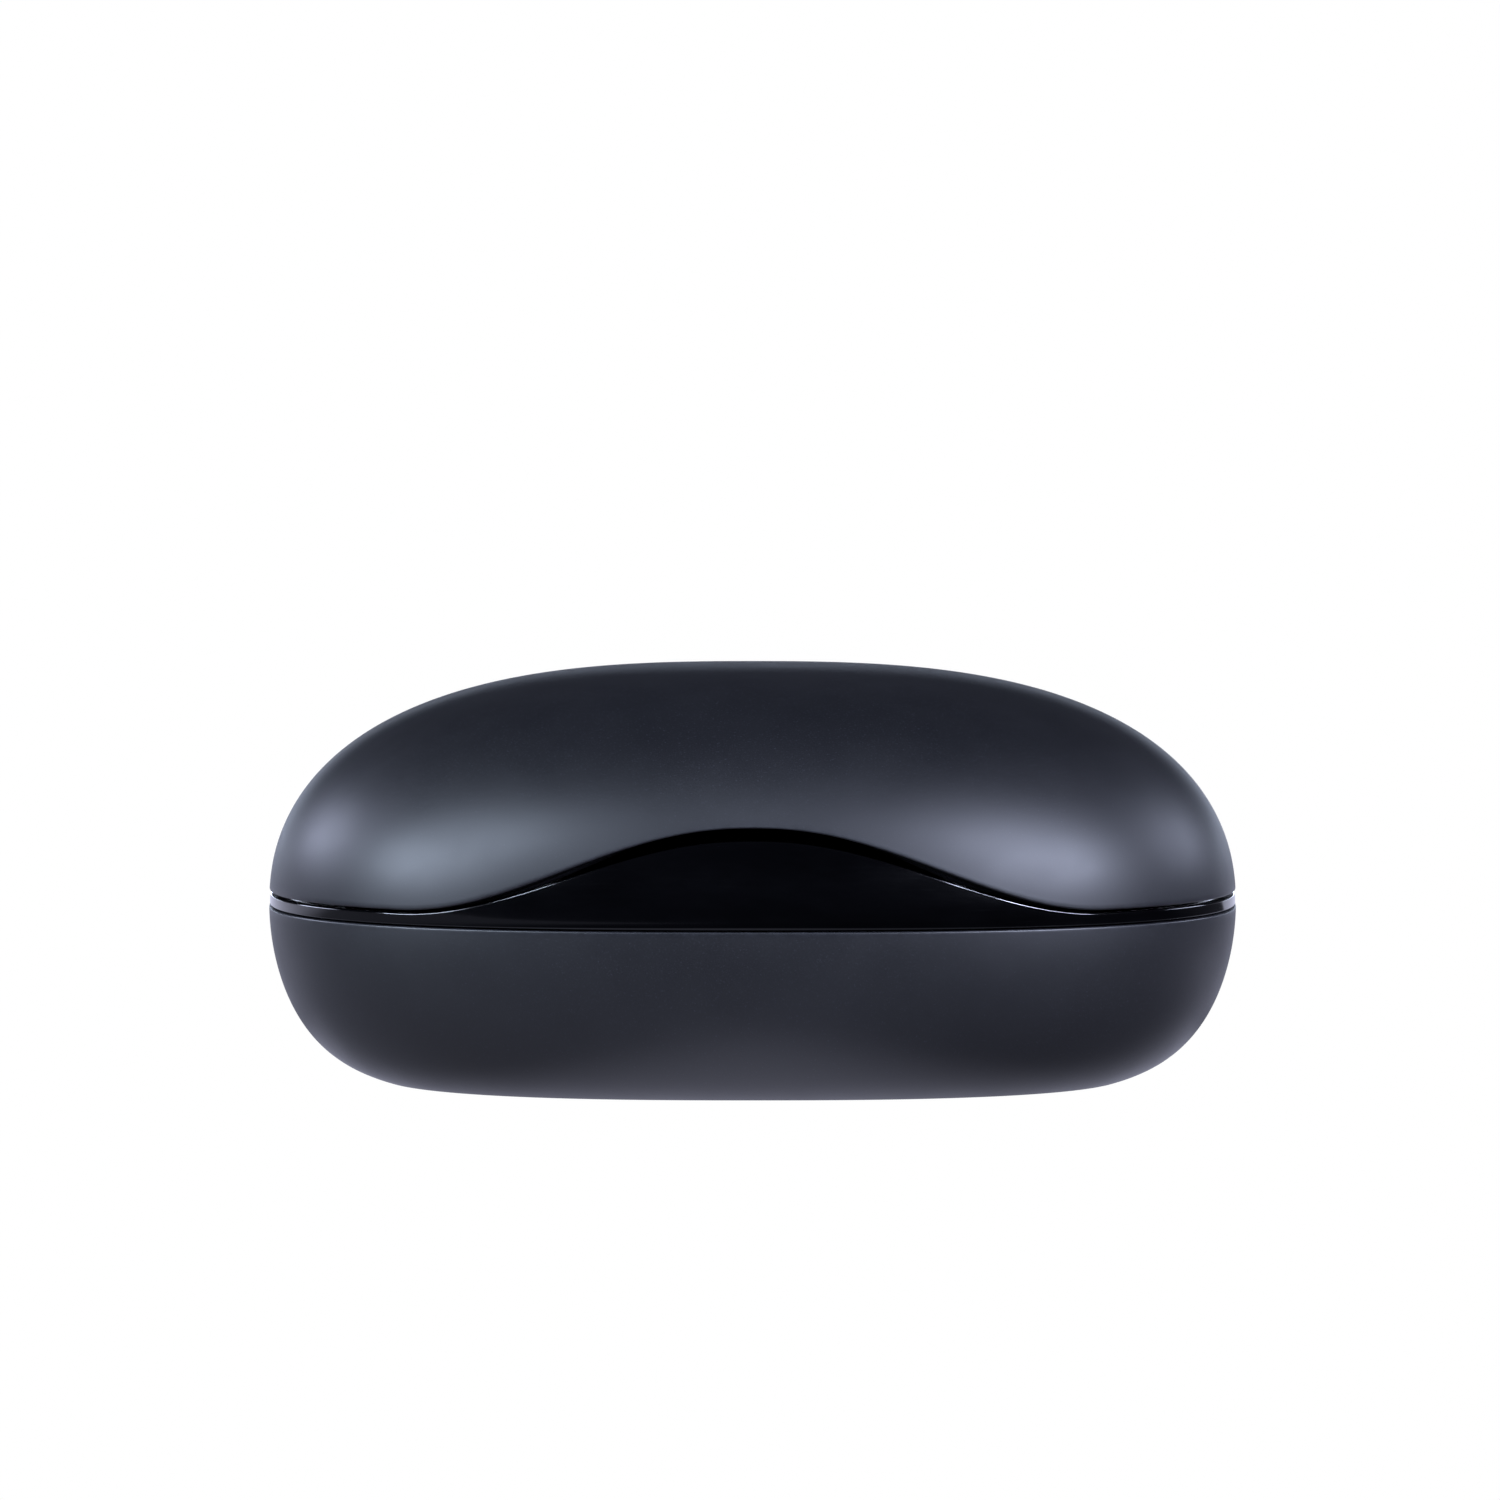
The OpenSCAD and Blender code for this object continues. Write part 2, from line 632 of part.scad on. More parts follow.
module contact_pin(y) {
    color("gold") {
        post(barrel_at[0], y, contact_tip_z - 1.5, contact_tip_z - 0.3, contact_r);
        translate([barrel_at[0], y, contact_tip_z - 0.3])
            cylinder(h = 0.3, r1 = contact_r, r2 = contact_r * 0.5, $fn = 32);
    }
}

module contact_spring(y) {
    turns = 3;
    wire_r = 0.08;
    z0 = block_z0 + 0.22 + wire_r;
    z1 = contact_tip_z - 1.52 - wire_r;
    color("lightgray") translate([barrel_at[0], y, z0]) rotate([0, -90, 0])
        wire(coil_line(turns, 0.33, (z1 - z0) / turns, 14), wire_r, 6);
}

base_shell();
trim_band();
cradle();
lid_shell();
lid_liner();
hinge_bracket();
hinge_pin();
hinge_leaf();
hinge_spring();  // hinge_spring_right
mirror([1, 0, 0]) hinge_spring();  // hinge_spring_left
bracket_screws();
leaf_rivets();
latch_magnets_base();
latch_magnets_lid();
well_magnets();  // well_magnets_right
mirror([1, 0, 0]) well_magnets();  // well_magnets_left
battery();
battery_pad();
battery_leads();
battery_plug();
main_board();
board_screws();
usb_shell();
usb_tongue();
usb_contacts();
charger_chip();
controller_chip();
power_inductor();
board_capacitors();
button_board();
button_flex();
switch_body();
switch_plunger();
pairing_button();
hall_sensor();
status_leds();
light_pipes();
contact_block();  // contact_block_right
mirror([1, 0, 0]) contact_block();  // contact_block_left
contact_flex();  // contact_flex_right
mirror([1, 0, 0]) contact_flex();  // contact_flex_left
contact_barrels();  // contact_barrels_right
mirror([1, 0, 0]) contact_barrels();  // contact_barrels_left
contact_pin(contact_ys()[0]);  // contact_pin_right_front
contact_pin(contact_ys()[1]);  // contact_pin_right_rear
mirror([1, 0, 0]) contact_pin(contact_ys()[0]);  // contact_pin_left_front
mirror([1, 0, 0]) contact_pin(contact_ys()[1]);  // contact_pin_left_rear
contact_spring(contact_ys()[0]);  // contact_spring_right_front
contact_spring(contact_ys()[1]);  // contact_spring_right_rear
mirror([1, 0, 0]) contact_spring(contact_ys()[0]);  // contact_spring_left_front
mirror([1, 0, 0]) contact_spring(contact_ys()[1]);  // contact_spring_left_rear
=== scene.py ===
"""The looks of a charging case for clip-on earbuds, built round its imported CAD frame."""
import json
import math

import bmesh
import bpy
import numpy as np
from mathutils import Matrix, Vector

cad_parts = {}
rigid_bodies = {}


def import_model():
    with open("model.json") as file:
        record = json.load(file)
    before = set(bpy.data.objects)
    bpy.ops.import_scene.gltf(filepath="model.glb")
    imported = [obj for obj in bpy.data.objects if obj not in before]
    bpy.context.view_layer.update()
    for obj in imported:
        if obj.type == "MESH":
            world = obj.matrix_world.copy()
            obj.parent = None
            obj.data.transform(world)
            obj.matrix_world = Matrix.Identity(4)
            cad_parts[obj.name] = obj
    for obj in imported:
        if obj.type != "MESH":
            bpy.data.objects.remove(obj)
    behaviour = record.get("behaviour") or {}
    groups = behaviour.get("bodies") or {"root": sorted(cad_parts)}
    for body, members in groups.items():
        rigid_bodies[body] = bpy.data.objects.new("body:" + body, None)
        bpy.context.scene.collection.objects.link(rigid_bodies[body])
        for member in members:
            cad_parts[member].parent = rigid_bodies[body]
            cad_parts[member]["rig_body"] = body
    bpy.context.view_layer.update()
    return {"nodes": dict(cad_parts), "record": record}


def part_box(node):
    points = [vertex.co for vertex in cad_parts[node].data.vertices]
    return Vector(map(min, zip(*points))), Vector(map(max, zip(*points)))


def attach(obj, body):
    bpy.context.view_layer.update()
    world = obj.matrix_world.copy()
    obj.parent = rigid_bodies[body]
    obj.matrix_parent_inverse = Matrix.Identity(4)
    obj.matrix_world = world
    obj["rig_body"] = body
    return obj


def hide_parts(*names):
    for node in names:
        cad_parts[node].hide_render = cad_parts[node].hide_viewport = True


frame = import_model()
MM = 0.001

# ---------------------------------------------------------------- dimensions from the frame
base_lo, base_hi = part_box("base_shell")
_, lid_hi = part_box("lid_shell")
band_lo, band_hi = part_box("trim_band")
_, deck_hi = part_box("cradle")
pin_lo, pin_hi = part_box("hinge_pin")
_, bracket_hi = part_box("hinge_bracket")
usb_lo, usb_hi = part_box("usb_shell")
button_lo, button_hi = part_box("pairing_button")

HALF_W = base_hi.x
HALF_D = -base_lo.y
SEAM = base_hi.z                       # top of the base shell, the widest plane
CROWN = lid_hi.z - SEAM
PLAN_N = 2.55                          # squareness of the plan outline
CROWN_P, CROWN_Q = 2.78, 2.25          # crown profile
FOOT_P, FOOT_Q = 7.75, 1.88            # foot profile
FOOT = SEAM + 1.0 * MM                 # its full depth, which the flat foot cuts short
WALL = 1.5 * MM
FLOOR_T = 1.2 * MM
HINGE_Y = (pin_lo.y + pin_hi.y) / 2
HINGE_Z = (pin_lo.z + pin_hi.z) / 2
KNUCKLE_R = bracket_hi.y - HINGE_Y
NOTCH_GAP = 0.35 * MM                  # air between the hinge and its notch in the shells
NOTCH_X = bracket_hi.x + NOTCH_GAP     # half the notch's width
NOTCH_Y = HINGE_Y - KNUCKLE_R - 1 * MM  # and its front
BAND_Z0 = band_lo.z
BAND_Z1 = SEAM + 0.93 * MM             # the band's top away from the crest
RIM_Z = SEAM + 1.17 * MM               # the lid's rim away from the arch
ARCH_H = 6.15 * MM                     # the arch's rise in the lid's rim
WAVE_X = 25.5 * MM                     # half the width of the arch and the crest
WAVE_P = 1.13                          # above 1, the wave's top is fuller and its flanks steeper
CREST_H = band_hi.z - BAND_Z1
SCOOP = 1.0 * MM                       # how far the crest's face leans in under the thumb
RELIEF = math.tan(math.radians(50))    # slope of the rims behind the hinge, which clears the swing
HINGE_GAP = 0.1 * MM                   # the rims stop this far from the hinge's axis

STEPS = 540     # columns round the shells
ANGLES = np.linspace(0, 2 * np.pi, STEPS, endpoint=False)[:, None]


# ---------------------------------------------------------------- the body's form
def plan(a, inset=0.0):
    """The outline at angles a, pulled in by inset."""
    c, s = np.cos(a), np.sin(a)
    across = np.abs(c / (HALF_W - inset)) ** PLAN_N
    along = np.abs(s / (HALF_D - inset)) ** PLAN_N
    r = (across + along) ** (-1 / PLAN_N)
    return r * c, r * s


def profile(h, c, p, q):
    """How much of the outline is left at height h of a dome of height c."""
    return np.maximum(0, 1 - (np.maximum(h, 0) / c) ** q) ** (1 / p)


def crown_point(a, t, h):
    """A point t inside the lid's outer skin, h above the seam."""
    s = profile(h, CROWN - t, CROWN_P, CROWN_Q)
    x, y = plan(a, t)
    return np.stack(np.broadcast_arrays(s * x, s * y, SEAM + h), -1)


def foot_point(a, t, h):
    """A point t inside the base's outer skin, h below the seam."""
    s = profile(h, FOOT - t * FLOOR_T / WALL, FOOT_P, FOOT_Q)
    x, y = plan(a, t)
    return np.stack(np.broadcast_arrays(s * x, s * y, SEAM - h), -1)


def crowd(u, h0, h1, c, q):
    """Heights from h0 to h1 that crowd towards the pole."""
    f0 = np.arcsin(np.clip(np.maximum(h0, 0) / c, 0, 1) ** (q / 2))
    f1 = np.arcsin(np.clip(h1 / c, 0, 1) ** (q / 2))
    return c * np.sin(f0 + u * (f1 - f0)) ** (2 / q)


def bump(a):
    """The front wave, from 0 at its ends to 1 in the middle."""
    x, y = plan(a)
    u = np.clip(np.abs(x) / WAVE_X, 0, 1)
    wave = (1 + np.cos(np.pi * u ** WAVE_P)) / 2
    return np.where(y < 0, wave, 0)


def behind_hinge(a):
    """How far the outline lies behind the hinge's axis."""
    return np.maximum(0, plan(a)[1] - HINGE_Y)


def lid_rim(a):
    """The lid's rim above the seam: the arch in front, and relief for the swing behind."""
    arch = RIM_Z + ARCH_H * bump(a)
    return np.maximum(arch, HINGE_Z + HINGE_GAP + behind_hinge(a) * RELIEF) - SEAM


def base_rim(a):
    """The base's rim below the seam, which drops only behind the hinge."""
    return SEAM - np.minimum(SEAM, HINGE_Z - HINGE_GAP - behind_hinge(a) * RELIEF)


# ---------------------------------------------------------------- mesh helpers
def make_object(name, verts, faces, smooth=True):
    mesh = bpy.data.meshes.new(name)
    mesh.from_pydata([tuple(v) for v in verts], [], faces)
    mesh.validate()
    mesh.update()
    piece = bpy.data.objects.new(name, mesh)
    bpy.context.scene.collection.objects.link(piece)
    if smooth:
        shade_smooth(piece)
    return piece


def shade_smooth(piece):
    polygons = piece.data.polygons
    polygons.foreach_set("use_smooth", [True] * len(polygons))


def swept(name, grid, ends=True):
    """A skin through grid[column, row]. The columns wrap. The first and last rows close to a
    point where ends is true, or else join each other."""
    n, m = grid.shape[:2]
    verts = list(grid.reshape(-1, 3))
    faces = []
    rows = m - 1 if ends else m
    for i in range(n):
        j = (i + 1) % n
        for r in range(rows):
            s = (r + 1) % m
            faces.append((i * m + r, j * m + r, j * m + s, i * m + s))
    if ends:
        for row, flip in ((0, False), (m - 1, True)):
            centre = len(verts)
            verts.append(grid[:, row].mean(0))
            for i in range(n):
                a, b = i * m + row, ((i + 1) % n) * m + row
                faces.append((a, centre, b) if flip else (b, centre, a))
    piece = make_object(name, verts, faces)
    tidy_normals(piece)
    return piece


def tidy_normals(piece):
    bm = bmesh.new()
    bm.from_mesh(piece.data)
    bmesh.ops.recalc_face_normals(bm, faces=bm.faces)
    bm.to_mesh(piece.data)
    bm.free()


def apply_modifiers(piece):
    depsgraph = bpy.context.evaluated_depsgraph_get()
    mesh = bpy.data.meshes.new_from_object(piece.evaluated_get(depsgraph))
    piece.modifiers.clear()
    piece.data = mesh


def boolean(piece, cutter, operation="DIFFERENCE"):
    mod = piece.modifiers.new("cut", "BOOLEAN")
    mod.operation = operation
    mod.solver = "MANIFOLD"
    mod.object = cutter
    apply_modifiers(piece)
    bpy.data.objects.remove(cutter)


def block(lo, hi, bevel=0.0):
    """A box between two corners, its edges rounded by bevel."""
    bm = bmesh.new()
    bmesh.ops.create_cube(bm, size=1)
    for v in bm.verts:
        v.co = Vector([lo[k] + (v.co[k] + 0.5) * (hi[k] - lo[k]) for k in range(3)])
    if bevel:
        bmesh.ops.bevel(bm, geom=bm.edges[:], offset=bevel, segments=3, profile=0.5,
                        affect="EDGES")
    mesh = bpy.data.meshes.new("block")
    bm.to_mesh(mesh)
    bm.free()
    piece = bpy.data.objects.new("block", mesh)
    bpy.context.scene.collection.objects.link(piece)
    return piece


def turned(profile_rz, centre, axis="Z", segments=96):
    """A solid of revolution from (radius, height) pairs, end to end along its axis."""
    a = np.linspace(0, 2 * np.pi, segments, endpoint=False)
    r = np.array([p[0] for p in profile_rz])
    z = np.array([p[1] for p in profile_rz])
    grid = np.stack([np.cos(a)[:, None] * r, np.sin(a)[:, None] * r,
                     np.broadcast_to(z, (segments, len(z)))], -1)
    if axis == "Y":
        grid = grid[..., [0, 2, 1]]
    return swept("turned", grid + np.array(centre))


def ball(centre, r):
    latitudes = np.linspace(-np.pi / 2, np.pi / 2, 49)[1:-1]
    return turned([(r * math.cos(k), r * math.sin(k)) for k in latitudes], centre)


def add_edge_wear(piece, weight):
    """Stores how near each point is to a rim, which the paint reads as polish and wear."""
    attribute = piece.data.attributes.new("rim", "FLOAT", "POINT")
    attribute.data.foreach_set("value", weight.astype(np.float32))


def points(piece):
    co = np.zeros(len(piece.data.vertices) * 3, np.float32)
    piece.data.vertices.foreach_get("co", co)
    return co.reshape(-1, 3)


def finish(piece, name, body, slot, material, *nodes):
    """Gives a piece its name and material, hangs it on the body it rides on, and hides the CAD
    nodes it replaces.
    """
    piece.name = piece.data.name = name
    piece.data.materials.clear()
    piece.data.materials.append(material)
    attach(piece, body)
    if nodes:
        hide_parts(*nodes)
    return piece


# ---------------------------------------------------------------- materials
class Tree:
    """A node tree, with the short ways to add nodes that the finishes and the studio share."""

    def __init__(self, tree):
        self.tree = tree

    def add(self, kind, **settings):
        node = self.tree.nodes.new(kind)
        for key, value in settings.items():
            setattr(node, key, value)
        return node

    def link(self, a, b):
        self.tree.links.new(a, b)

    def math(self, operation, a, b):
        node = self.add("ShaderNodeMath", operation=operation)
        for value, socket in zip((a, b), node.inputs):
            if isinstance(value, (int, float)):
                socket.default_value = value
            else:
                self.link(value, socket)
        return node.outputs[0]

    def remap(self, source, start, end, low, high, **settings):
        """source between start and end becomes low to high."""
        node = self.add("ShaderNodeMapRange", **settings)
        limits = {"From Min": start, "From Max": end, "To Min": low, "To Max": high}
        for key, value in limits.items():
            node.inputs[key].default_value = value
        self.link(source, node.inputs["Value"])
        return node.outputs["Result"]


class Material(Tree):
    """A material for a piece, built on the Principled shader."""

    def __init__(self, name, **sockets):
        self.material = bpy.data.materials.new(name)
        self.material.use_nodes = True
        super().__init__(self.material.node_tree)
        self.shader = self.tree.nodes["Principled BSDF"]
        for key, value in sockets.items():
            self.shader.inputs[key.replace("_", " ")].default_value = value
        self.place = self.add("ShaderNodeTexCoord").outputs["Object"]

    def noise(self, scale, detail=4.0, rough=0.55, stretch=None):
        node = self.add("ShaderNodeTexNoise")
        node.inputs["Scale"].default_value = scale
        node.inputs["Detail"].default_value = detail
        node.inputs["Roughness"].default_value = rough
        source = self.place
        if stretch:
            mapping = self.add("ShaderNodeMapping")
            mapping.inputs["Scale"].default_value = stretch
            self.link(source, mapping.inputs["Vector"])
            source = mapping.outputs["Vector"]
        self.link(source, node.inputs["Vector"])
        return node.outputs["Fac"]

    def span(self, source, low, high, start=0.3, end=0.7):
        """The middle of a noise's range becomes low to high."""
        return self.remap(source, start, end, low, high)

    def blend(self, fac, a, b):
        node = self.add("ShaderNodeMix", data_type="RGBA")
        self.link(fac, node.inputs["Factor"])
        for value, key in ((a, "A"), (b, "B")):
            socket = [s for s in node.inputs if s.name == key and s.type == "RGBA"][0]
            if isinstance(value, tuple):
                socket.default_value = (*value, 1)
            else:
                self.link(value, socket)
        return [s for s in node.outputs if s.type == "RGBA"][0]

    def colour(self, source):
        self.link(source, self.shader.inputs["Base Color"])

    def rough(self, source):
        self.link(source, self.shader.inputs["Roughness"])

    def relief(self, height, strength, distance):
        node = self.add("ShaderNodeBump")
        node.inputs["Strength"].default_value = strength
        node.inputs["Distance"].default_value = distance
        self.link(height, node.inputs["Height"])
        self.link(node.outputs["Normal"], self.shader.inputs["Normal"])


def satin_paint():
    """Satin dark blue-grey paint: fine flake, slow drift of tone, polished rims."""
    m = Material("satin_paint", IOR=1.5)
    flake = m.noise(9000, 2)
    drift = m.noise(60, 3)
    tone = m.blend(m.span(drift, 0, 1), (0.0030, 0.0031, 0.0042), (0.0040, 0.0041, 0.0054))
    tone = m.blend(m.span(flake, 0, 1, 0.62, 0.80), tone, (0.016, 0.017, 0.022))
    rim = m.add("ShaderNodeAttribute", attribute_name="rim").outputs["Fac"]
    scuffs = m.span(m.noise(1400, 3, 0.5), 0.2, 1, 0.35, 0.65)
    worn = m.math("MULTIPLY", m.math("MULTIPLY", rim, scuffs), 0.12)
    m.colour(m.blend(worn, tone, (0.05, 0.053, 0.062)))
    rough = m.math("ADD", m.span(m.noise(220, 4), 0.45, 0.49), m.span(flake, -0.015, 0.015))
    m.rough(m.math("SUBTRACT", rough, m.math("MULTIPLY", rim, 0.08)))
    m.relief(m.noise(5200, 3), 0.10, 0.00002)
    return m.material


def piano_black():
    """Polished black with faint handling smears and hairline scratches."""
    m = Material("piano_black", IOR=1.5, Coat_Weight=0.4, Coat_Roughness=0.04)
    smear = m.noise(90, 5, 0.6, (1, 1, 3))
    hair = m.noise(700, 2, 0.5, (0.15, 1, 6))
    m.colour(m.blend(m.span(smear, 0, 1), (0.0006, 0.0006, 0.0008), (0.0011, 0.0011, 0.0014)))
    m.rough(m.math("ADD", m.span(smear, 0.07, 0.13), m.span(hair, 0, 0.03, 0.6, 0.75)))
    m.relief(m.noise(1100, 2), 0.03, 0.00001)
    return m.material


def moulded(name, dark, light, rough=0.5, grain=3200, depth=0.00003):
    """Moulded plastic with a fine spark-eroded grain."""
    m = Material(name, IOR=1.48)
    m.colour(m.blend(m.span(m.noise(120, 4), 0, 1), dark, light))
    m.rough(m.span(m.noise(900, 3), rough - 0.03, rough + 0.04))
    m.relief(m.noise(grain, 4, 0.65), 0.35, depth)
    return m.material


def metal(name, dark, light, rough=0.3, grain=(1, 12, 12), scale=900):
    """Drawn or stamped metal: stretched grain in tone, roughness and relief."""
    m = Material(name, Metallic=1.0)
    lines = m.noise(scale, 4, 0.6, grain)
    m.colour(m.blend(m.span(lines, 0, 1), dark, light))
    m.rough(m.span(m.noise(scale / 2, 4, 0.6, grain), rough - 0.07, rough + 0.1))
    m.relief(lines, 0.15, 0.00001)
    return m.material


def solder_mask():
    """Green board lacquer with the relief of its copper tracks."""
    m = Material("solder_mask", IOR=1.5)
    tracks = m.add("ShaderNodeTexBrick")
    tracks.inputs["Scale"].default_value = 420
    tracks.inputs["Mortar Size"].default_value = 0.03
    m.link(m.place, tracks.inputs["Vector"])
    m.colour(m.blend(tracks.outputs["Fac"], (0.010, 0.060, 0.030), (0.018, 0.105, 0.050)))
    m.rough(m.span(m.noise(900, 4), 0.28, 0.40))
    m.relief(tracks.outputs["Fac"], 0.3, 0.00003)
    return m.material


def frosted(name, tint):
    """Frosted light-guide acrylic."""
    m = Material(name, IOR=1.49, Transmission_Weight=0.7)
    m.colour(m.blend(m.span(m.noise(600, 3), 0, 1), tint, tuple(min(1, k * 1.08) for k in tint)))
    m.rough(m.span(m.noise(1500, 3), 0.30, 0.45))
    m.relief(m.noise(4000, 2), 0.1, 0.00001)
    return m.material


PAINT = satin_paint()
GLOSS = piano_black()
CRADLE = moulded("cradle_grain", (0.010, 0.0105, 0.013), (0.013, 0.0135, 0.016), 0.48)
LINER = moulded("liner_grain", (0.009, 0.0095, 0.012), (0.012, 0.0125, 0.015), 0.45)
BUTTON = moulded("button_grain", (0.014, 0.0145, 0.017), (0.018, 0.0185, 0.021), 0.38, 2400)
NYLON = moulded("nylon_grain", (0.012, 0.012, 0.013), (0.018, 0.018, 0.019), 0.5)
IVORY = moulded("ivory_nylon", (0.66, 0.61, 0.50), (0.72, 0.67, 0.56), 0.45)
RESIN = moulded("chip_resin_grain", (0.010, 0.010, 0.011), (0.016, 0.016, 0.017), 0.55, 5200)
FERRITE = moulded("ferrite_grain", (0.05, 0.05, 0.055), (0.075, 0.075, 0.08), 0.5, 5200)
CERAMIC = moulded("ceramic_grain", (0.40, 0.31, 0.21), (0.48, 0.38, 0.27), 0.4, 5200)
FOAM = moulded("foam_cells", (0.020, 0.020, 0.020), (0.035, 0.035, 0.035), 0.85, 1500, 0.00012)
LEAD = moulded("silicone_lead", (0.24, 0.012, 0.012), (0.32, 0.02, 0.02), 0.4)
FLEX = moulded("polyimide_film", (0.34, 0.13, 0.02), (0.44, 0.19, 0.035), 0.22, 900, 0.00001)
LED = moulded("led_white", (0.75, 0.74, 0.66), (0.84, 0.83, 0.76), 0.35)
STEEL = metal("stamped_steel", (0.26, 0.27, 0.29), (0.36, 0.37, 0.39), 0.34)
ROD = metal("ground_rod", (0.46, 0.46, 0.47), (0.58, 0.58, 0.59), 0.22, (12, 1, 1))
WIRE = metal("spring_wire", (0.36, 0.36, 0.37), (0.48, 0.48, 0.49), 0.28, (3, 3, 3))
ZINC = metal("zinc_plate", (0.24, 0.24, 0.25), (0.34, 0.34, 0.35), 0.36, (2, 2, 2))
NICKEL = metal("nickel_plate", (0.52, 0.51, 0.48), (0.62, 0.61, 0.58), 0.18, (2, 2, 2))
PORT = metal("drawn_shell", (0.42, 0.43, 0.45), (0.54, 0.55, 0.57), 0.24, (2, 12, 2))
GOLD = metal("gold_flash", (0.72, 0.48, 0.15), (0.86, 0.62, 0.24), 0.2, (3, 3, 3))
TINNED = metal("tinned_cover", (0.52, 0.52, 0.52), (0.62, 0.62, 0.62), 0.3, (6, 1, 1))
FOIL = metal("pouch_foil", (0.42, 0.44, 0.47), (0.56, 0.58, 0.61), 0.38, (1, 4, 4), 500)
BOARD = solder_mask()
PIPE = frosted("frosted_pipe", (0.62, 0.68, 0.72))


# ---------------------------------------------------------------- shells
EDGE = 0.13 * MM                       # rounding of the shells' rims


def shell_rows(point, rim, c_out, c_in, wall, q, pole_out, pole_in, rows):
    """Columns of a shell from its outer pole over the rim to its inner pole. The full heights
    of its domes are c_out and c_in, and its poles may cut them short."""
    u = np.linspace(1, 0, rows)[None, :]
    one = np.ones_like(rim)
    outer_h = crowd(u, rim + EDGE, pole_out, c_out, q)
    inner_h = crowd(u[:, ::-1], rim + EDGE, pole_in, c_in, q)
    quarter = np.linspace(0, np.pi / 2, 6)[1:]
    t_lip = EDGE * (1 - np.cos(quarter))[None, :]
    h_lip = EDGE * (1 - np.sin(quarter))[None, :]
    ts = [0 * outer_h, one * t_lip, one * (wall - t_lip[:, ::-1]), wall + 0 * inner_h]
    hs = [outer_h, rim + h_lip, rim + h_lip[:, ::-1], inner_h]
    t, h = np.concatenate(ts, 1), np.concatenate(hs, 1)
    return point(ANGLES, t, h)


def hinge_notch(z0, z1, y0):
    """The room to cut out for the hinge, from y0 to behind the case."""
    return block((-NOTCH_X, y0, z0), (NOTCH_X, HALF_D + 2 * MM, z1), 0.25 * MM)


def near_rim(piece, rim_of):
    """1 at the rim, fading out within about half a millimetre."""
    fade = 0.35 * MM
    co = points(piece)
    a = np.arctan2(co[:, 1], co[:, 0])
    gap = np.abs(co[:, 2] - SEAM - rim_of(a))
    return np.exp(-(gap / fade) ** 2)


def build_lid():
    rows = 120
    grid = shell_rows(crown_point, lid_rim(ANGLES), CROWN, CROWN - WALL, WALL, CROWN_Q, CROWN,
                      CROWN - WALL, rows)
    piece = swept("lid", grid[:, 1:-1])
    boolean(piece, hinge_notch(HINGE_Z - 3 * MM, HINGE_Z + KNUCKLE_R + NOTCH_GAP, NOTCH_Y))
    add_edge_wear(piece, near_rim(piece, lid_rim))
    return finish(piece, "lid_skin", "lid", "shell_paint", PAINT, "lid_shell")


def build_base():
    rows = 100
    grid = shell_rows(foot_point, base_rim(ANGLES), FOOT, FOOT - FLOOR_T, WALL, FOOT_Q, SEAM,
                      SEAM - FLOOR_T, rows)
    halfway = np.array([0.5, 0.5, 1])      # one more ring on each flat, so its faces stay short
    piece = swept("base", np.concatenate([grid[:, :1] * halfway, grid, grid[:, -1:] * halfway], 1))
    boolean(piece, hinge_notch(HINGE_Z - KNUCKLE_R - NOTCH_GAP, HINGE_Z + 3 * MM, NOTCH_Y))
    boolean(piece, port_slot(0.25 * MM))
    add_edge_wear(piece, near_rim(piece, lambda a: -base_rim(a)))
    return finish(piece, "base_skin", "base", "shell_paint", PAINT, "base_shell")


def port_slot(ease):
    """The rounded slot round the receptacle, with a flared mouth."""
    z = (usb_lo.z + usb_hi.z) / 2
    r = (usb_hi.z - usb_lo.z) / 2 + ease
    half = usb_hi.x + ease - r
    a = np.linspace(0, 2 * np.pi, 96, endpoint=False)
    depth = [usb_hi.y - 5 * MM, usb_hi.y - 0.15 * MM, usb_hi.y + 2 * MM]
    grow = [0, 0, 1.2 * MM]
    rings = []
    for y, g in zip(depth, grow):
        x = np.sign(np.cos(a)) * half + (r + g) * np.cos(a)
        rings.append(np.stack([x, np.full_like(a, y), z + (r + g) * np.sin(a)], -1))
    return swept("slot", np.stack(rings, 1))


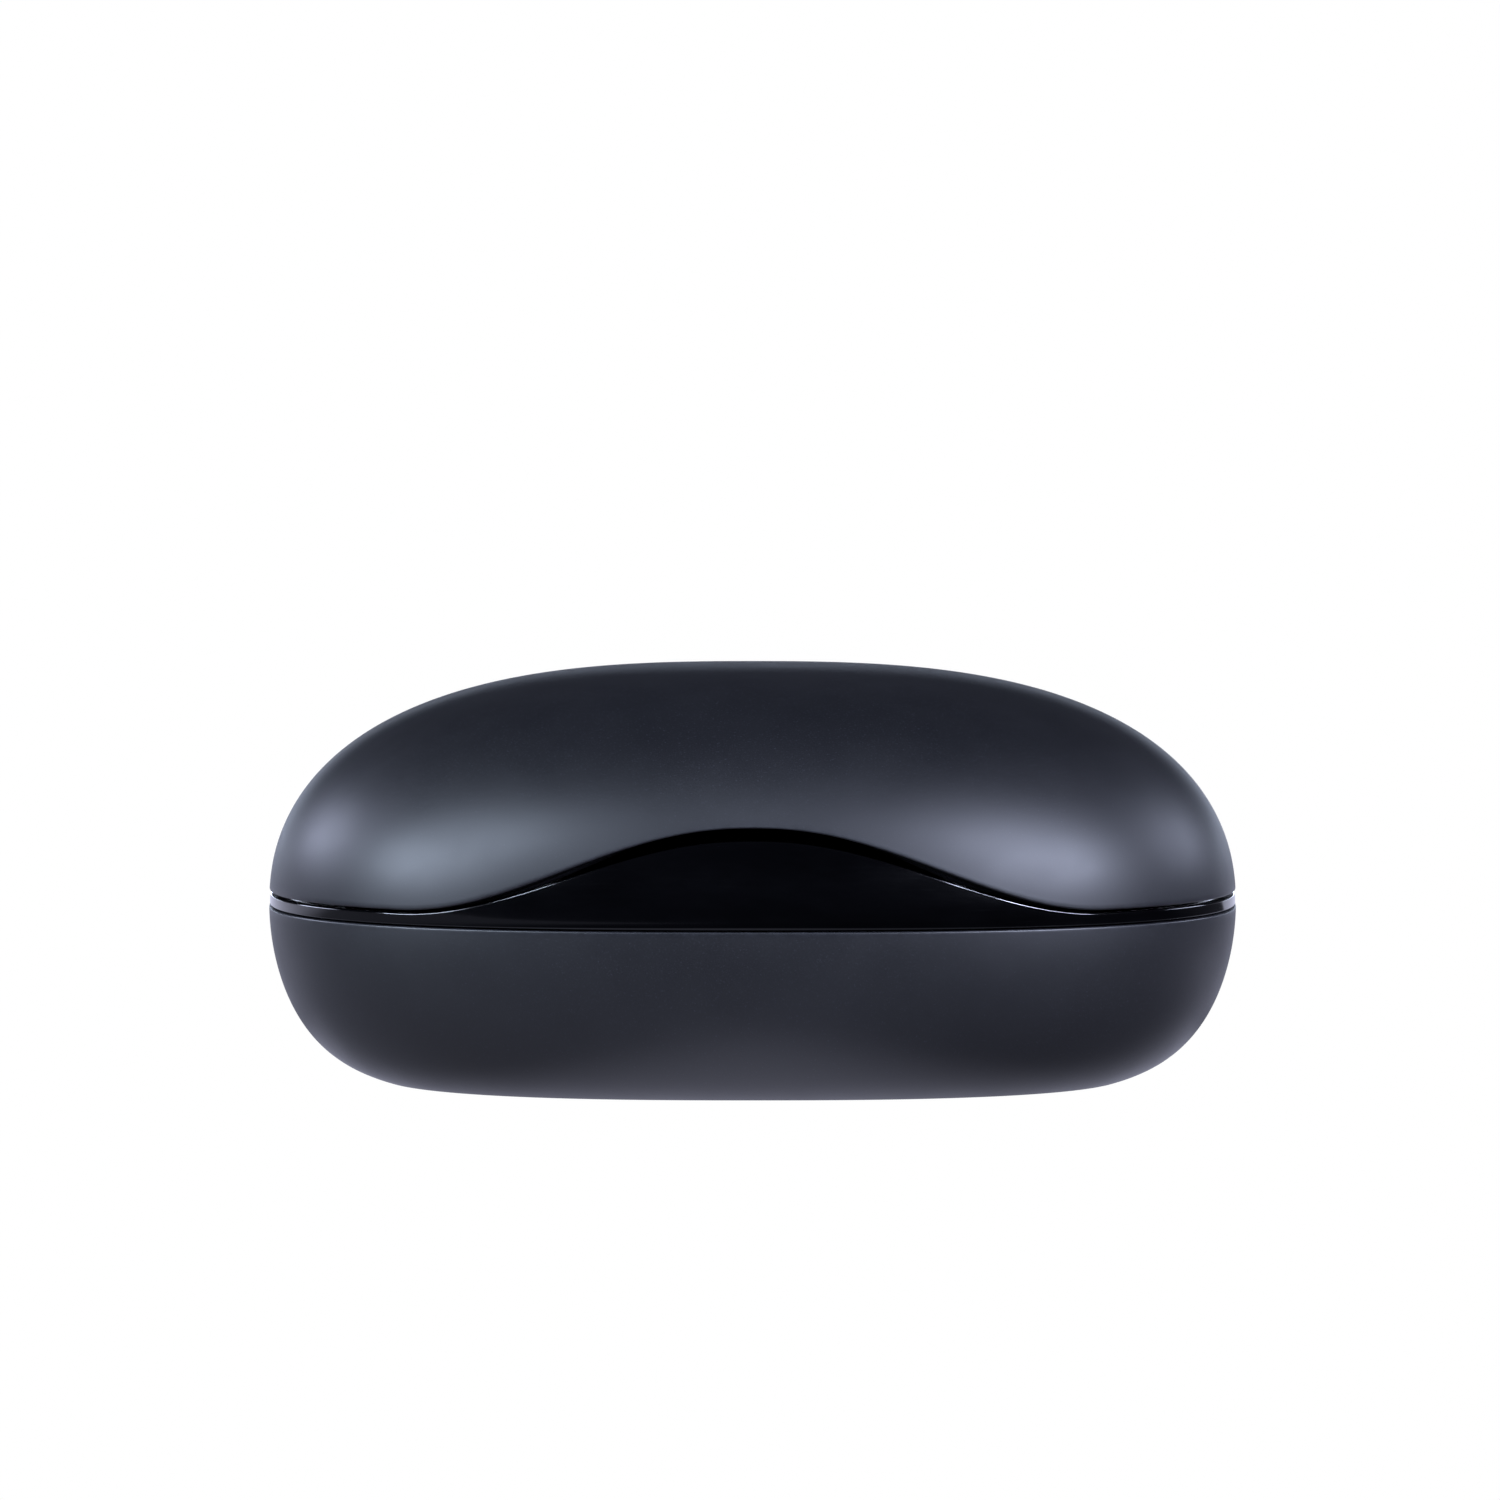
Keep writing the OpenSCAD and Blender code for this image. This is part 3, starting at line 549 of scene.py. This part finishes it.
def build_band():
    """The gloss band: a face that leans in towards the crest, a narrow land, and a ramp that
    falls away behind it. Depths are measured in from the body's outer skin."""
    b = bump(ANGLES)
    back = np.where(behind_hinge(ANGLES) > 0, behind_hinge(ANGLES) + HINGE_GAP, 0)
    back = np.minimum(back, 1.2 * MM)
    top = BAND_Z1 + CREST_H * b
    d0 = 0.06 * MM + back                  # the face's foot, a hair inside the shells
    dt = d0 + SCOOP * b ** 2               # the face's top
    w = 2.2 * MM + 3.2 * MM * b + back / 2  # the band's inner side
    edge = 0.07 * MM                       # rounding of the face's foot and top
    t = np.linspace(0, 1, 40)[None, :]
    face_d = d0 + SCOOP * (b * t) ** 2
    face_z = BAND_Z0 + edge + t * (top - edge - BAND_Z0 - edge)
    r = np.linspace(0, 1, 30)[None, :]
    land = dt + edge + 0.6 * MM            # where the flat top ends and the ramp begins
    ramp_d = land + r * (w - land)
    ramp_z0 = SEAM + 0.62 * MM             # the ramp's low end
    ramp_z = ramp_z0 + (top - ramp_z0) * (1 + np.cos(np.pi * r)) / 2
    bottom = BAND_Z0 + 0 * b
    d = np.concatenate([d0 + edge, face_d, dt + edge * 0.25, dt + edge, ramp_d, w], 1)
    z = np.concatenate([bottom, face_z, top - edge * 0.25, top, ramp_z, bottom], 1)
    k = profile(z - SEAM, CROWN, CROWN_P, CROWN_Q)
    x, y = plan(ANGLES, d / k)
    piece = swept("band", np.stack([k * x, k * y, z], -1), ends=False)
    boolean(piece, hinge_notch(SEAM - 3 * MM, SEAM + 4 * MM, HINGE_Y - KNUCKLE_R - 1.2 * MM))
    return finish(piece, "band_gloss", "base", "band_gloss", GLOSS, "trim_band")


def build_liner():
    """The lid's inner shell: a flange at its rim, and a skirt that hides the hinge."""
    ease = 0.15 * MM
    skirt_t = 0.6 * MM
    skirt_over = 3 * MM                    # the skirt is inset, so it starts this much wider
    flange_h = 0.8 * MM
    x, y = plan(ANGLES)
    skirt = (y > 0) & (np.abs(x) < NOTCH_X + skirt_over)
    rim = np.where(skirt, BAND_Z0 + 0.35 * MM - SEAM, lid_rim(ANGLES) + ease)
    rows = 80
    c_in, c_out = CROWN - 3 * MM, CROWN - 2.3 * MM  # heights of its two domes
    t_in = WALL + 2.6 * MM                 # and how far in they stand
    t_out = np.where(skirt, t_in - skirt_t, WALL + 1.7 * MM)
    t_lip = np.where(skirt, t_in - skirt_t, WALL + ease)
    u = np.linspace(0, 1, rows)[None, :]
    one = np.ones_like(rim)

    def dome(t, c, h):
        s = profile(h, c, CROWN_P, CROWN_Q)
        x, y = plan(ANGLES, t)
        return np.stack(np.broadcast_arrays(s * x, s * y, SEAM + h), -1)

    soft = 0.5 * MM
    inner = dome(t_in, c_in, crowd(1 - u, rim + soft, c_in, c_in, CROWN_Q))
    turn = [dome(t_in - soft * math.sin(k), c_in, rim + soft * (1 - math.sin(k)) ** 1.5 * one)
            for k in np.linspace(0.2, np.pi / 2, 6)]
    lip = [dome(t_lip, CROWN - WALL - ease, rim * one),
           dome(t_lip, CROWN - WALL - ease, (rim + flange_h) * one)]
    outer = dome(t_out, c_out, crowd(u, rim + flange_h, c_out, c_out, CROWN_Q))
    piece = swept("liner", np.concatenate([inner[:, 1:], *turn, *lip, outer[:, :-1]], 1))
    return finish(piece, "liner_skin", "lid", "liner_plastic", LINER, "lid_liner")


# ---------------------------------------------------------------- cradle
BALL_AT = (10.8 * MM, -7.5 * MM, 10.6 * MM)
BALL_R = 7.7 * MM
BARREL_AT = (24 * MM, -3.5 * MM, 10.3 * MM)
BARREL_R = 5.9 * MM
BARREL_LEN = 9.2 * MM
BRIDGE_HALF = 3 * MM                   # half the width of the slot between ball and barrel
BRIDGE_Z = 8.8 * MM                    # its floor
CUP_T = 0.8 * MM
EASE = 0.05 * MM                       # a shaft is this much wider than the ball under it
SILL_X = 14.5 * MM                     # the sill in front of the hinge: half its length,
SILL_Y = 19 * MM                       # its front,
SILL_T = 0.6 * MM                      # its thickness
SILL_H = 0.65 * MM                     # and its height above the deck
DECK_Z1 = deck_hi.z - SILL_H
DECK_Z0 = SEAM - 1.15 * MM


def well_shapes(side, grow, top):
    """The solids of one earbud's well: a ball, a barrel, and the slot that joins them."""
    x, y, z = side * BALL_AT[0], BALL_AT[1], BALL_AT[2]
    r = BALL_R + grow
    shapes = [ball((x, y, z), r), turned([(r + EASE, z), (r + EASE, top)], (x, y, 0))]
    x, y, z = side * BARREL_AT[0], BARREL_AT[1], BARREL_AT[2]
    r = BARREL_R + grow
    half = BARREL_LEN / 2
    shapes.append(turned([(r, -half), (r, half)], (x, y, z), "Y"))
    for end in (-half, half):
        shapes.append(ball((x, y + end, z), r))
        shapes.append(turned([(r + EASE, z), (r + EASE, top)], (x, y + end, 0)))
    shapes.append(block((x - r - EASE, y - half, z), (x + r + EASE, y + half, top)))
    x0, x1 = sorted((side * (BALL_AT[0] + 4 * MM), side * (BARREL_AT[0] - 2 * MM)))
    half_bridge = BRIDGE_HALF + grow
    shapes.append(block((x0, BALL_AT[1] - half_bridge, BRIDGE_Z - grow),
                        (x1, BALL_AT[1] + half_bridge, top)))
    return shapes


def build_cradle():
    """The deck with its wells, fused and softened by a remesh, then the crisp sill and holes."""
    inset = WALL + 0.25 * MM
    r = 0.3 * MM
    a = ANGLES[:, 0]
    rows = [(inset, DECK_Z0), (inset, DECK_Z1 - r), (inset + 0.3 * r, DECK_Z1 - 0.3 * r),
            (inset + r, DECK_Z1)]
    deck = np.stack([np.stack([*plan(a, t), np.full(len(a), z)], -1) for t, z in rows], 1)
    piece = swept("cradle_deck", deck)
    cups_top = DECK_Z0 + 0.5 * MM
    for side in (-1, 1):
        for shape in well_shapes(side, CUP_T, cups_top):
            boolean(shape, block((-HALF_W, -HALF_D, cups_top), (HALF_W, HALF_D, SEAM + 20 * MM)))
            boolean(piece, shape, "UNION")
    for side in (-1, 1):
        for shape in well_shapes(side, 0, DECK_Z1 + 1 * MM):
            boolean(piece, shape)
    boolean(piece, block((-NOTCH_X - 0.5 * MM, HINGE_Y - KNUCKLE_R - NOTCH_GAP, 0),
                         (NOTCH_X + 0.5 * MM, HALF_D + 1 * MM, SEAM + 3 * MM)))
    remesh = piece.modifiers.new("remesh", "REMESH")
    remesh.mode = "VOXEL"
    remesh.voxel_size = 0.19 * MM
    smooth = piece.modifiers.new("smooth", "SMOOTH")
    smooth.factor = 0.5
    smooth.iterations = 7
    apply_modifiers(piece)
    sill = block((-SILL_X, SILL_Y, DECK_Z0), (SILL_X, SILL_Y + SILL_T, deck_hi.z), 0.12 * MM)
    boolean(piece, sill, "UNION")
    drill_deck(piece)
    shade_smooth(piece)
    return finish(piece, "cradle_body", "base", "cradle_plastic", CRADLE, "cradle")


def drill_deck(piece):
    """Holes for the button, the light pipes and the spring contacts, clear of each by a hair."""
    button_r = 2.5 * MM
    contact_r = 0.74 * MM
    pipe_ease = 0.04 * MM
    through = (DECK_Z0 - 1 * MM, DECK_Z1 + 1 * MM)
    well_floor = (1 * MM, 6.5 * MM)
    holes = [((button_lo.x + button_hi.x) / 2, (button_lo.y + button_hi.y) / 2, button_r, *through)]
    lo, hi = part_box("light_pipes")
    pipe_r = (hi.y - lo.y) / 2 + pipe_ease
    for k in (-1, 0, 1):
        holes.append((k * (hi.x - pipe_r + pipe_ease), (lo.y + hi.y) / 2, pipe_r, *through))
    for side in ("left", "right"):
        for end in ("front", "rear"):
            lo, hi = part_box(f"contact_pin_{side}_{end}")
            holes.append(((lo.x + hi.x) / 2, (lo.y + hi.y) / 2, contact_r, *well_floor))
    for x, y, r, z0, z1 in holes:
        boolean(piece, turned([(r, z0), (r, z1)], (x, y, 0), segments=64))


# ---------------------------------------------------------------- carried-over pieces
def refined(node, slot, material, bevel):
    """The CAD node's own solid with its hard edges broken."""
    source = frame["nodes"][node]
    piece = bpy.data.objects.new(node + "_piece", source.data.copy())
    bpy.context.scene.collection.objects.link(piece)
    bm = bmesh.new()
    bm.from_mesh(piece.data)
    bmesh.ops.remove_doubles(bm, verts=bm.verts, dist=0.001 * MM)
    bmesh.ops.dissolve_limit(bm, angle_limit=math.radians(1), verts=bm.verts, edges=bm.edges)
    bm.to_mesh(piece.data)
    bm.free()
    mod = piece.modifiers.new("edges", "BEVEL")
    mod.width = bevel
    mod.segments = 2
    mod.limit_method = "ANGLE"
    mod.angle_limit = math.radians(35)
    mod.harden_normals = True
    shade_smooth(piece)
    apply_modifiers(piece)
    return finish(piece, node + "_piece", source["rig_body"], slot, material, node)


FINISHES = {
    "hinge_steel": STEEL, "pin_steel": ROD, "spring_steel": WIRE, "screw_zinc": ZINC,
    "magnet_nickel": NICKEL, "cell_foil": FOIL, "foam": FOAM, "lead_red": LEAD,
    "plug_ivory": IVORY, "circuit_board": BOARD, "port_steel": PORT, "tongue_plastic": NYLON,
    "gold_plate": GOLD, "chip_resin": RESIN, "ferrite": FERRITE, "ceramic": CERAMIC,
    "flex_polyimide": FLEX, "switch_metal": TINNED, "switch_plastic": NYLON,
    "button_plastic": BUTTON, "led_package": LED, "light_pipe": PIPE, "block_plastic": NYLON,
    "shell_paint": PAINT, "band_gloss": GLOSS, "cradle_plastic": CRADLE, "liner_plastic": LINER,
}
BROKEN_EDGES = {                       # bevel in millimetres, on the nodes that show or are large
    "hinge_bracket": 0.12, "hinge_leaf": 0.12, "pairing_button": 0.15, "usb_shell": 0.08,
    "usb_tongue": 0.08, "battery": 0.9, "hinge_pin": 0.1, "light_pipes": 0.05,
    "contact_block_left": 0.15, "contact_block_right": 0.15, "main_board": 0.05,
}


def finish_cad_nodes():
    """Gives every CAD node its finish, and the ones in BROKEN_EDGES a bevelled copy."""
    for row in frame["record"]["subparts"]:
        node, slot = row["node"], row["material_slot"]
        source = frame["nodes"][node]
        source.data.materials.clear()
        source.data.materials.append(FINISHES[slot])
        if node in BROKEN_EDGES:
            refined(node, slot, FINISHES[slot], BROKEN_EDGES[node] * MM)


# ---------------------------------------------------------------- studio
def aim(thing, target):
    direction = Vector(target) - thing.location
    thing.rotation_euler = direction.to_track_quat("-Z", "Y").to_euler()


def build_camera():
    """A long lens just above the seam, with the case low in the frame."""
    distance = 0.8
    elevation = math.radians(5.05)
    frame_width = 110.4 * MM               # what the frame's width takes in at the case
    drop = 11.16 * MM                      # the case's middle hangs this far below the axis
    aside = -0.19 * MM                     # and the camera stands this far to the left
    data = bpy.data.cameras.new("camera")
    data.sensor_width = 36
    data.lens = data.sensor_width * distance / frame_width
    data.clip_start, data.clip_end = 0.01, 200
    camera = bpy.data.objects.new("camera", data)
    bpy.context.scene.collection.objects.link(camera)
    away, up = distance * math.cos(elevation), distance * math.sin(elevation)
    camera.location = (aside, -away, SEAM + up)
    rise = Vector((0, math.sin(elevation), math.cos(elevation))) * drop
    aim(camera, Vector((aside, 0, SEAM)) + rise)
    bpy.context.scene.camera = camera


DAYLIGHT = (0.76, 0.78, 1.0)           # the cool white of the sweep and the room
COOL = (0.69, 0.80, 1.0)               # the left key and fill, and the rim
VIOLET = (0.70, 0.76, 1.0)             # the lights on the right, and the left side


def softbox(name, azimuth, elevation, distance, size, power, tone):
    """A rectangular light aimed at the case. Azimuth 0 is the front, and it grows to the right."""
    data = bpy.data.lights.new(name, "AREA")
    data.shape = "RECTANGLE"
    data.size, data.size_y = size
    data.energy = power
    data.color = tone
    light = bpy.data.objects.new(name, data)
    bpy.context.scene.collection.objects.link(light)
    a, e = math.radians(azimuth), math.radians(elevation)
    bearing = Vector((math.sin(a) * math.cos(e), -math.cos(a) * math.cos(e), math.sin(e)))
    light.location = bearing * distance
    light.location.z += SEAM
    light.visible_camera = False
    aim(light, (0, 0, SEAM))


class Studio(Tree):
    """A surface that is white to the eye and lights the case by a pattern of its own."""

    def __init__(self, tree, source):
        super().__init__(tree)
        tree.nodes.clear()
        split = self.add("ShaderNodeSeparateXYZ")
        self.link(self.add("ShaderNodeTexCoord").outputs[source], split.inputs["Vector"])
        self.x, self.y, self.z = split.outputs

    def ramp(self, source, start, end, low, high):
        return self.remap(source, start, end, low, high, interpolation_type="SMOOTHSTEP")

    def product(self, a, b):
        return self.math("MULTIPLY", a, b)

    def brightest(self, first, *rest):
        for other in rest:
            first = self.math("MAXIMUM", first, other)
        return first

    def mixed(self, fac, a, b):
        node = self.add("ShaderNodeMixShader")
        for source, socket in zip((fac, a, b), node.inputs):
            self.link(source, socket)
        return node.outputs[0]

    def show(self, strength, lit_by):
        """White to the camera. To all else, daylight of this strength."""
        lit, seen = self.add(lit_by), self.add(lit_by)
        lit.inputs["Color"].default_value = (*DAYLIGHT, 1)
        self.link(strength, lit.inputs["Strength"])
        seen.inputs["Color"].default_value = (1, 1, 1, 1)
        path = self.add("ShaderNodeLightPath")
        return self.mixed(path.outputs["Is Camera Ray"], lit.outputs[0], seen.outputs[0])

    def end(self, shader, out):
        self.link(shader, self.add(out).inputs["Surface"])


def build_world():
    """A studio that is bright low down behind the case, and dim in front and overhead."""
    world = bpy.data.worlds.new("studio")
    bpy.context.scene.world = world
    world.use_nodes = True
    sky = Studio(world.node_tree, "Generated")
    behind = sky.ramp(sky.y, 0.20, 0.95, 0.006, 0.9)
    low = sky.ramp(sky.z, 0.00, 0.15, 1.0, 0.02)
    glow = sky.show(sky.product(behind, low), "ShaderNodeBackground")
    sky.end(glow, "ShaderNodeOutputWorld")


FLOOR_R = 40                           # the floor runs out of sight on every side
FLOOR_Z = -0.02 * MM                   # a hair under the foot's flat


def sweep_glow(sweep):
    """Where the sweep lights the case: round its foot and behind it, and hardly in front."""
    def out(place, half):
        """How far out a place lies, counted in the case's half sizes."""
        share = sweep.math("ABSOLUTE", sweep.math("DIVIDE", place, half), 0)
        return sweep.math("POWER", share, 1.5)

    across, along = out(sweep.x, HALF_W), out(sweep.y, HALF_D)
    reach = sweep.math("ADD", across, along)
    corner = sweep.product(across, along)
    foot = sweep.ramp(sweep.math("ADD", reach, corner), 0.8, 1.8, 1.35, 0.0)
    wide = sweep.product(sweep.ramp(reach, 1.3, 6.4, 1, 0),
                         sweep.ramp(sweep.x, -0.04, 0.02, 0.55, 0.28))
    beside = sweep.product(sweep.ramp(across, 1.0, 1.3, 0.0, 0.9),
                           sweep.ramp(across, 2.8, 4.8, 1, 0))
    beside = sweep.product(beside, sweep.ramp(sweep.y, -0.02, 0.01, 0.0, 1.0))
    diagonal = sweep.math("SUBTRACT", sweep.y, sweep.product(sweep.x, 1.03))
    card = sweep.ramp(diagonal, -0.010, 0.0, 0.05, 1.0)
    behind = sweep.product(sweep.ramp(sweep.y, -0.01, 0.10, 0.01, 0.95), card)
    left = sweep.ramp(sweep.x, -0.18, -0.12, 0.20, 0.0)
    return sweep.brightest(foot, wide, beside, behind, left)


def build_floor():
    """A white sweep under the case, clear from below so that the underside can be seen."""
    corners = [(-1, -1), (1, -1), (1, 1), (-1, 1)]
    floor = make_object("floor", [(x * FLOOR_R, y * FLOOR_R, FLOOR_Z) for x, y in corners],
                        [(0, 1, 2, 3)], smooth=False)
    material = bpy.data.materials.new("white_sweep")
    material.use_nodes = True
    sweep = Studio(material.node_tree, "Object")
    top = sweep.show(sweep_glow(sweep), "ShaderNodeEmission")
    under = sweep.add("ShaderNodeBsdfTransparent").outputs[0]
    from_below = sweep.add("ShaderNodeNewGeometry").outputs["Backfacing"]
    sweep.end(sweep.mixed(from_below, top, under), "ShaderNodeOutputMaterial")
    floor.data.materials.append(material)


def build_lights():
    # name, azimuth, elevation, distance, size, power, tone
    softbox("left_key", -60, 21, 0.9, (0.34, 0.16), 10.0, COOL)
    softbox("right_key", 48, 21, 0.9, (0.36, 0.16), 13.3, VIOLET)
    softbox("left_fill", -38, 36, 0.9, (0.20, 0.14), 5.0, COOL)
    softbox("right_fill", 35, 36, 0.9, (0.20, 0.14), 4.5, VIOLET)
    softbox("left_side", -114, 20, 0.9, (0.44, 0.20), 4.7, VIOLET)
    softbox("right_side", 112, 20, 0.9, (0.40, 0.22), 3.1, VIOLET)
    softbox("rim", 180, 4, 1.2, (1.8, 0.10), 2.0, COOL)


build_camera()
build_world()
build_floor()
build_lights()
scene = bpy.context.scene
scene.view_settings.view_transform = "Standard"
scene.view_settings.look = "None"

finish_cad_nodes()
build_base()
build_lid()
build_band()
build_liner()
build_cradle()
